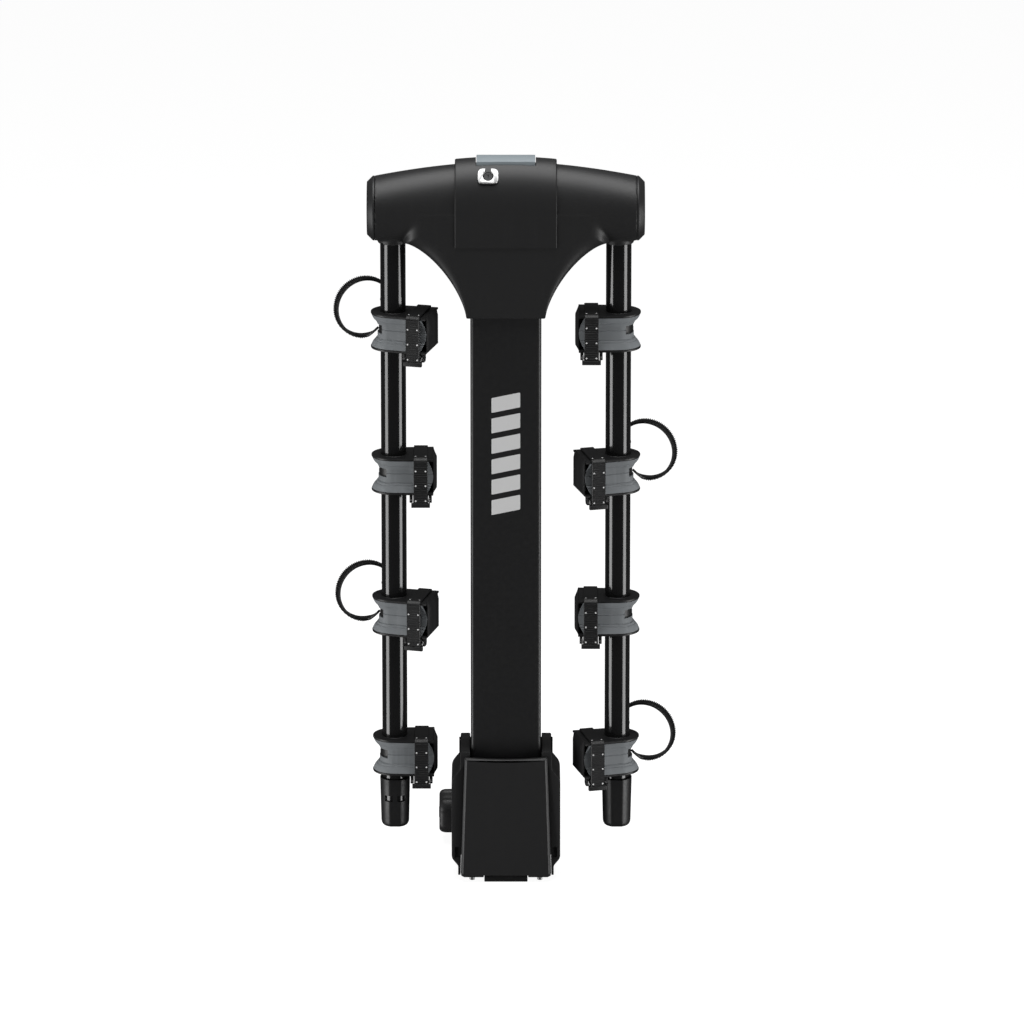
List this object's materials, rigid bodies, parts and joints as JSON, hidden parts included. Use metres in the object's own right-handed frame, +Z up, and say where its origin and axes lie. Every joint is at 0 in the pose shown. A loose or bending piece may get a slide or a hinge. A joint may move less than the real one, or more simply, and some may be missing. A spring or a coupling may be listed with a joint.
{
  "type": "hitch mounted bike rack",
  "caption": "Hanging bike rack for a vehicle hitch: tilting mast on a pinned tongue, folding twin arms with a release paddle, swivelling padded cradles with ladder straps and anti-sway loops.",
  "frame": {"origin": "where the hitch pin's axis crosses the tongue's centre line", "axes": "+Z up the mast, +Y along the tongue towards the vehicle, +X along the hitch pin, to the right as seen from behind the vehicle; arms folded down at rest"},
  "size_m": [0.4294, 0.255, 0.9407],
  "materials": {
    "powder_black": "satin black powder coat",
    "gloss_black_tube": "gloss black powder coat",
    "moulded_black": "fine grained black moulding",
    "nylon_black": "satin black nylon",
    "strap_rubber": "smooth black rubber",
    "grey_pad": "ribbed grey rubber",
    "grey_paddle": "fine grained grey moulding",
    "plated_steel": "zinc plated",
    "white_nylon": "plain nylon",
    "lock_black": "black chromed lock barrel"
  },
  "bodies": {
    "root": {"tongue_tube": "powder_black", "hitch_adapter": "powder_black", "pivot_bracket": "powder_black", "tilt_pivot_bolt": "plated_steel", "side_cover_left": "moulded_black", "side_cover_right": "moulded_black"},
    "pin": {"hitch_pin": "plated_steel", "hitch_knob": "moulded_black"},
    "knob_lock": {"knob_lock_core": "lock_black"},
    "mast": {"mast_tube": "powder_black", "pivot_sleeve": "plated_steel", "bearing_liner": "white_nylon", "latch_sector": "powder_black", "front_cover": "moulded_black", "front_cover_bolt_left": "plated_steel", "front_cover_bolt_right": "plated_steel"},
    "tilt_lever": {"tilt_lever": "moulded_black"},
    "tilt_latch": {"tilt_latch_bar": "plated_steel", "tilt_latch_spring": "plated_steel"},
    "arms": {"cross_tube": "powder_black", "arm_tube_left": "gloss_black_tube", "arm_tube_right": "gloss_black_tube", "head_shell": "moulded_black", "head_end_cap_left": "moulded_black", "head_end_cap_right": "moulded_black", "head_center_cover": "moulded_black", "arm_end_cap_left": "moulded_black", "arm_end_cap_right": "moulded_black", "cable_lock_plate": "plated_steel"},
    "cable_lock": {"cable_lock_cylinder": "lock_black"},
    "paddle": {"release_paddle": "grey_paddle", "release_pawl": "plated_steel"},
    "cradle_left_1": {"cradle_left_1_core": "nylon_black", "cradle_left_1_pad": "grey_pad", "cradle_left_1_strap": "strap_rubber", "cradle_left_1_loop": "strap_rubber"},
    "cradle_left_2": {"cradle_left_2_core": "nylon_black", "cradle_left_2_pad": "grey_pad", "cradle_left_2_strap": "strap_rubber"},
    "cradle_left_3": {"cradle_left_3_core": "nylon_black", "cradle_left_3_pad": "grey_pad", "cradle_left_3_strap": "strap_rubber", "cradle_left_3_loop": "strap_rubber"},
    "cradle_left_4": {"cradle_left_4_core": "nylon_black", "cradle_left_4_pad": "grey_pad", "cradle_left_4_strap": "strap_rubber"},
    "cradle_right_1": {"cradle_right_1_core": "nylon_black", "cradle_right_1_pad": "grey_pad", "cradle_right_1_strap": "strap_rubber"},
    "cradle_right_2": {"cradle_right_2_core": "nylon_black", "cradle_right_2_pad": "grey_pad", "cradle_right_2_strap": "strap_rubber", "cradle_right_2_loop": "strap_rubber"},
    "cradle_right_3": {"cradle_right_3_core": "nylon_black", "cradle_right_3_pad": "grey_pad", "cradle_right_3_strap": "strap_rubber"},
    "cradle_right_4": {"cradle_right_4_core": "nylon_black", "cradle_right_4_pad": "grey_pad", "cradle_right_4_strap": "strap_rubber", "cradle_right_4_loop": "strap_rubber"}
  },
  "joints": [
    {"name": "hitch_knob_turn", "type": "hinge", "parent": "root", "child": "pin", "pos_m": [0, 0, 0], "axis": [-1, 0, 0], "continuous": true},
    {"name": "knob_lock_key", "type": "hinge", "parent": "pin", "child": "knob_lock", "pos_m": [-0.086, 0, 0], "axis": [-1, 0, 0], "range_deg": [0, 90]},
    {"name": "mast_tilt", "type": "hinge", "parent": "root", "child": "mast", "pos_m": [0, -0.13, 0], "axis": [1, 0, 0], "range_deg": [0, 36]},
    {"name": "tilt_latch", "type": "slide", "parent": "mast", "child": "tilt_latch", "axis": [0, 0, -1], "range_m": [0, 0.007], "stiffness_N_per_m": 1200, "springref_m": -0.004, "deforming": ["tilt_latch_spring"]},
    {"name": "tilt_lever", "type": "hinge", "parent": "mast", "child": "tilt_lever", "pos_m": [0, -0.162, -0.025], "axis": [-1, 0, 0], "range_deg": [0, 25.01]},
    {"name": "arm_fold", "type": "hinge", "parent": "mast", "child": "arms", "pos_m": [0, -0.13, 0.837], "axis": [-1, 0, 0], "range_deg": [0, 90]},
    {"name": "release_paddle", "type": "hinge", "parent": "arms", "child": "paddle", "pos_m": [0, -0.108, 0.8892], "axis": [-1, 0, 0], "range_deg": [0, 20], "stiffness_Nm_per_rad": 0.6, "springref_deg": -5.73},
    {"name": "cable_lock_key", "type": "hinge", "parent": "arms", "child": "cable_lock", "pos_m": [-0.022, -0.15827, 0.88372], "axis": [0, -0.7787, 0.6275], "range_deg": [0, 90]},
    {"name": "cradle_left_1_swivel", "type": "hinge", "parent": "arms", "child": "cradle_left_1", "pos_m": [-0.141, -0.13, 0.6814], "axis": [0, 0, 1], "range_deg": [-15, 15]},
    {"name": "cradle_left_2_swivel", "type": "hinge", "parent": "arms", "child": "cradle_left_2", "pos_m": [-0.141, -0.13, 0.4957], "axis": [0, 0, 1], "range_deg": [-15, 15]},
    {"name": "cradle_left_3_swivel", "type": "hinge", "parent": "arms", "child": "cradle_left_3", "pos_m": [-0.141, -0.13, 0.31], "axis": [0, 0, 1], "range_deg": [-15, 15]},
    {"name": "cradle_left_4_swivel", "type": "hinge", "parent": "arms", "child": "cradle_left_4", "pos_m": [-0.141, -0.13, 0.1243], "axis": [0, 0, 1], "range_deg": [-15, 15]},
    {"name": "cradle_right_1_swivel", "type": "hinge", "parent": "arms", "child": "cradle_right_1", "pos_m": [0.141, -0.13, 0.6814], "axis": [0, 0, 1], "range_deg": [-15, 15]},
    {"name": "cradle_right_2_swivel", "type": "hinge", "parent": "arms", "child": "cradle_right_2", "pos_m": [0.141, -0.13, 0.4957], "axis": [0, 0, 1], "range_deg": [-15, 15]},
    {"name": "cradle_right_3_swivel", "type": "hinge", "parent": "arms", "child": "cradle_right_3", "pos_m": [0.141, -0.13, 0.31], "axis": [0, 0, 1], "range_deg": [-15, 15]},
    {"name": "cradle_right_4_swivel", "type": "hinge", "parent": "arms", "child": "cradle_right_4", "pos_m": [0.141, -0.13, 0.1243], "axis": [0, 0, 1], "range_deg": [-15, 15]}
  ],
  "couplings": [
    {"joint": "tilt_lever", "follows": "tilt_latch", "rad_per_m": 62.33}
  ]
}
